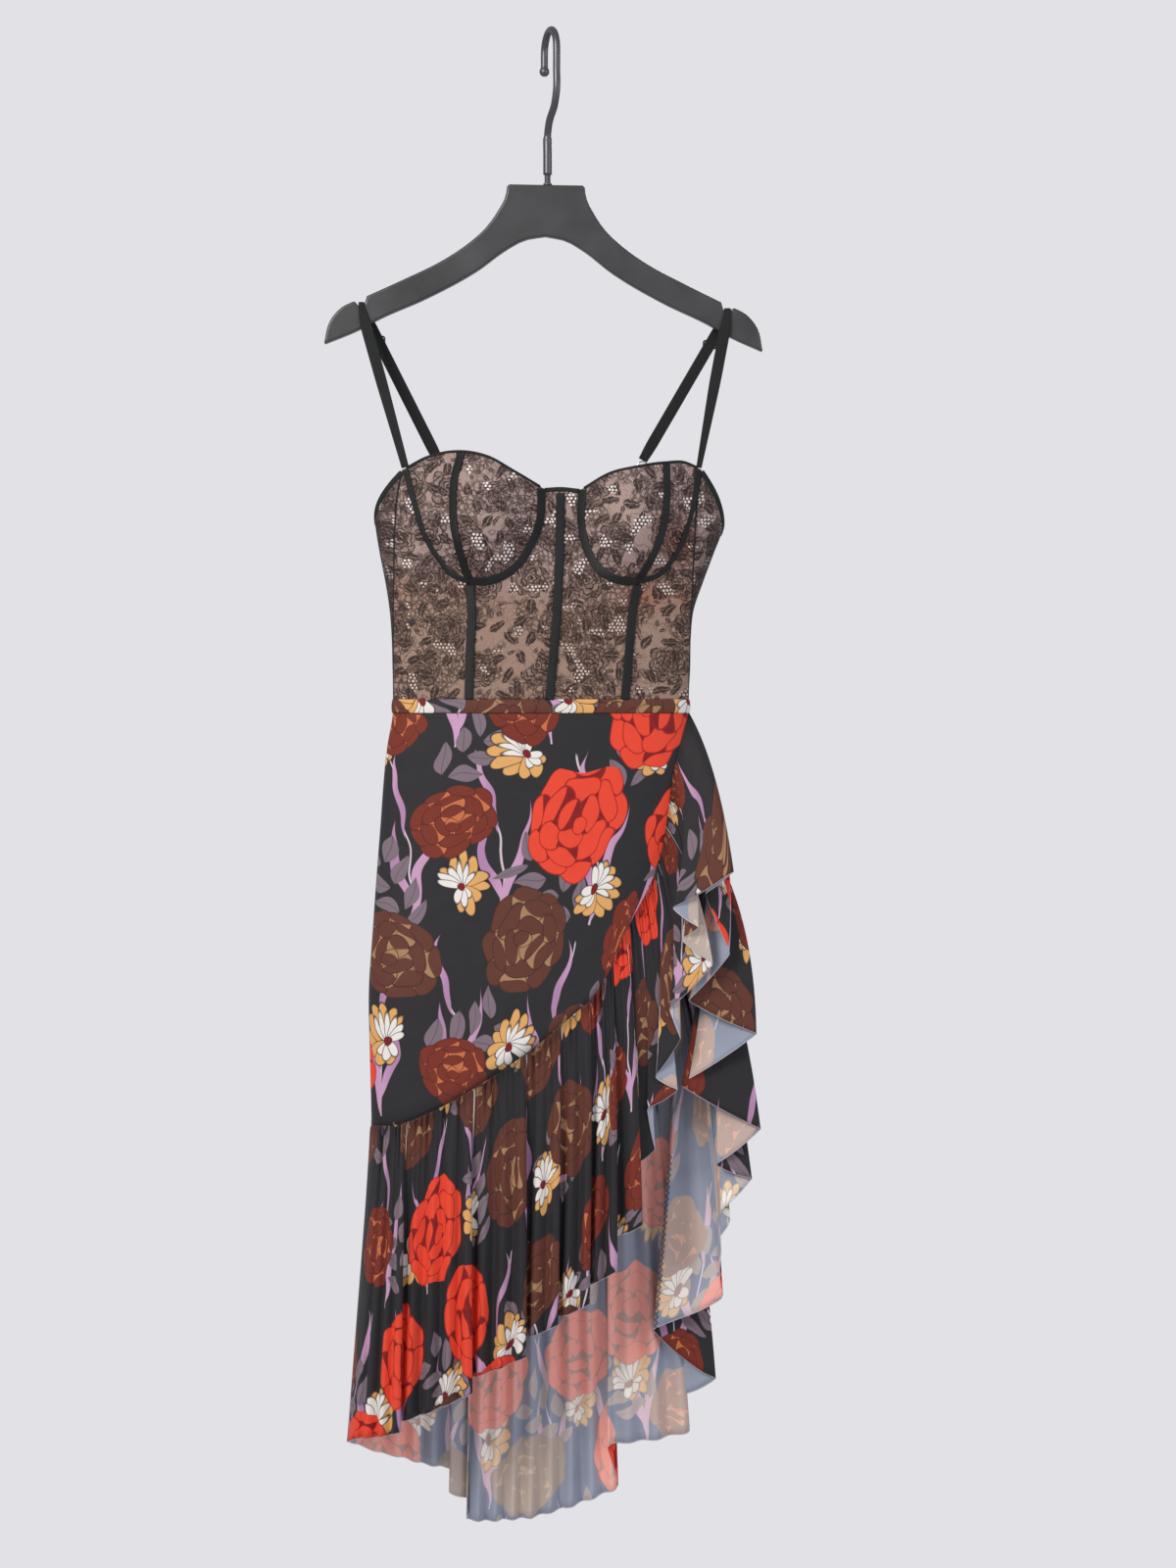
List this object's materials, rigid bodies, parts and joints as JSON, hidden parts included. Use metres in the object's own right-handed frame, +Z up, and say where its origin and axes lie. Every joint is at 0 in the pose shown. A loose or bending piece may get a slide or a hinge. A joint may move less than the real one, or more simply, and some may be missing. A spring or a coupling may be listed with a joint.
{
  "type": "high-low midi dress on a clothes hanger",
  "caption": "Strappy corset dress with a high-low gathered ruffle cascading down one side, hung flat on a notched clothes hanger with a turned wire hook.",
  "frame": {"origin": "top of the hook's inside, where the hook bears on its rail", "axes": "+Z up, -Y out of the dress's front, +X to the viewer's right seen from the front, along the rail"},
  "size_m": [0.4447, 0.1398, 1.5251],
  "materials": {
    "hanger": "satin black",
    "hook": "satin grey metal",
    "strap": "black ribbed elastic",
    "slider": "black",
    "ring": "polished",
    "lace": "black floral lace over a nude lining",
    "channel": "black satin tape",
    "binding": "black narrow binding",
    "print": "matt woven cloth with a floral print on black, pale on its wrong side"
  },
  "bodies": {
    "root": {"hanger_body": "hanger", "hanger_ferrule": "hook", "hanger_hook": "hook", "strap_left": "strap", "strap_right": "strap", "strap_slider_left": "slider", "strap_slider_right": "slider", "ring_tab_left": "strap", "ring_tab_right": "strap", "strap_ring_left": "ring", "strap_ring_right": "ring", "cup_outer_left": "lace", "cup_outer_right": "lace", "cup_inner_left": "lace", "cup_inner_right": "lace", "centre_front_left": "lace", "centre_front_right": "lace", "side_front_left": "lace", "side_front_right": "lace", "bodice_back": "lace", "wire_channel_outer_left": "channel", "wire_channel_outer_right": "channel", "wire_channel_inner_left": "channel", "wire_channel_inner_right": "channel", "cup_channel_left": "channel", "cup_channel_right": "channel", "lower_channel_left": "channel", "lower_channel_right": "channel", "centre_channel": "channel", "neck_binding_left": "binding", "neck_binding_right": "binding", "gore_binding": "binding", "armhole_binding_left": "binding", "armhole_binding_right": "binding", "back_binding": "binding", "waist_band": "print", "skirt_front": "print", "skirt_back": "print", "ruffle_front": "print", "ruffle_side": "print", "ruffle_back": "print"}
  },
  "joints": []
}
